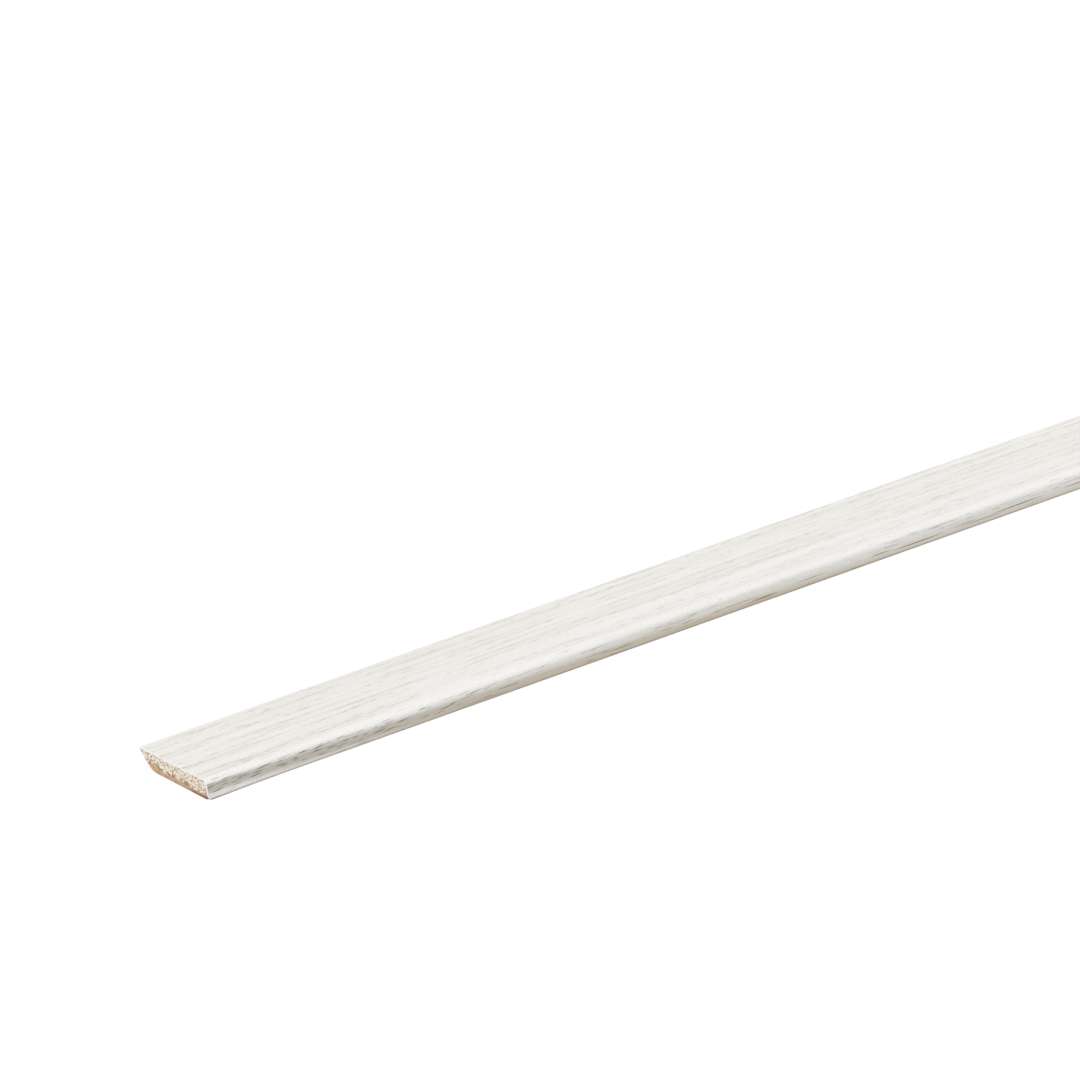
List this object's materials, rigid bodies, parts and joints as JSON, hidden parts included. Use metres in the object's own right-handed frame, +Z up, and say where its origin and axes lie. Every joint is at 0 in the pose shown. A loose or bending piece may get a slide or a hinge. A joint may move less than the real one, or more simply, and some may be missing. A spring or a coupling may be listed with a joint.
{
  "type": "skirting board",
  "caption": "Slim flat skirting strip: wood-based core wrapped on its face and rounded edge in white wood-grain film, with an undercut sharp edge and a flat back to glue or pin.",
  "frame": {"origin": "middle of the back face: half way along, half way across, on the plane that the strip lies on", "axes": "+X along the strip, +Y across it towards the sharp undercut edge, +Z up from the back to the decor face"},
  "size_m": [2.4, 0.027, 0.005],
  "materials": {
    "raw_board": "raw sawn fine particleboard, pale chips with brown specks, tan along the back",
    "decor_film": "satin white film with a fine grey-brown wood-grain print and embossed pores"
  },
  "bodies": {
    "root": {"core_strip": "raw_board", "decor_film": "decor_film"}
  },
  "joints": []
}
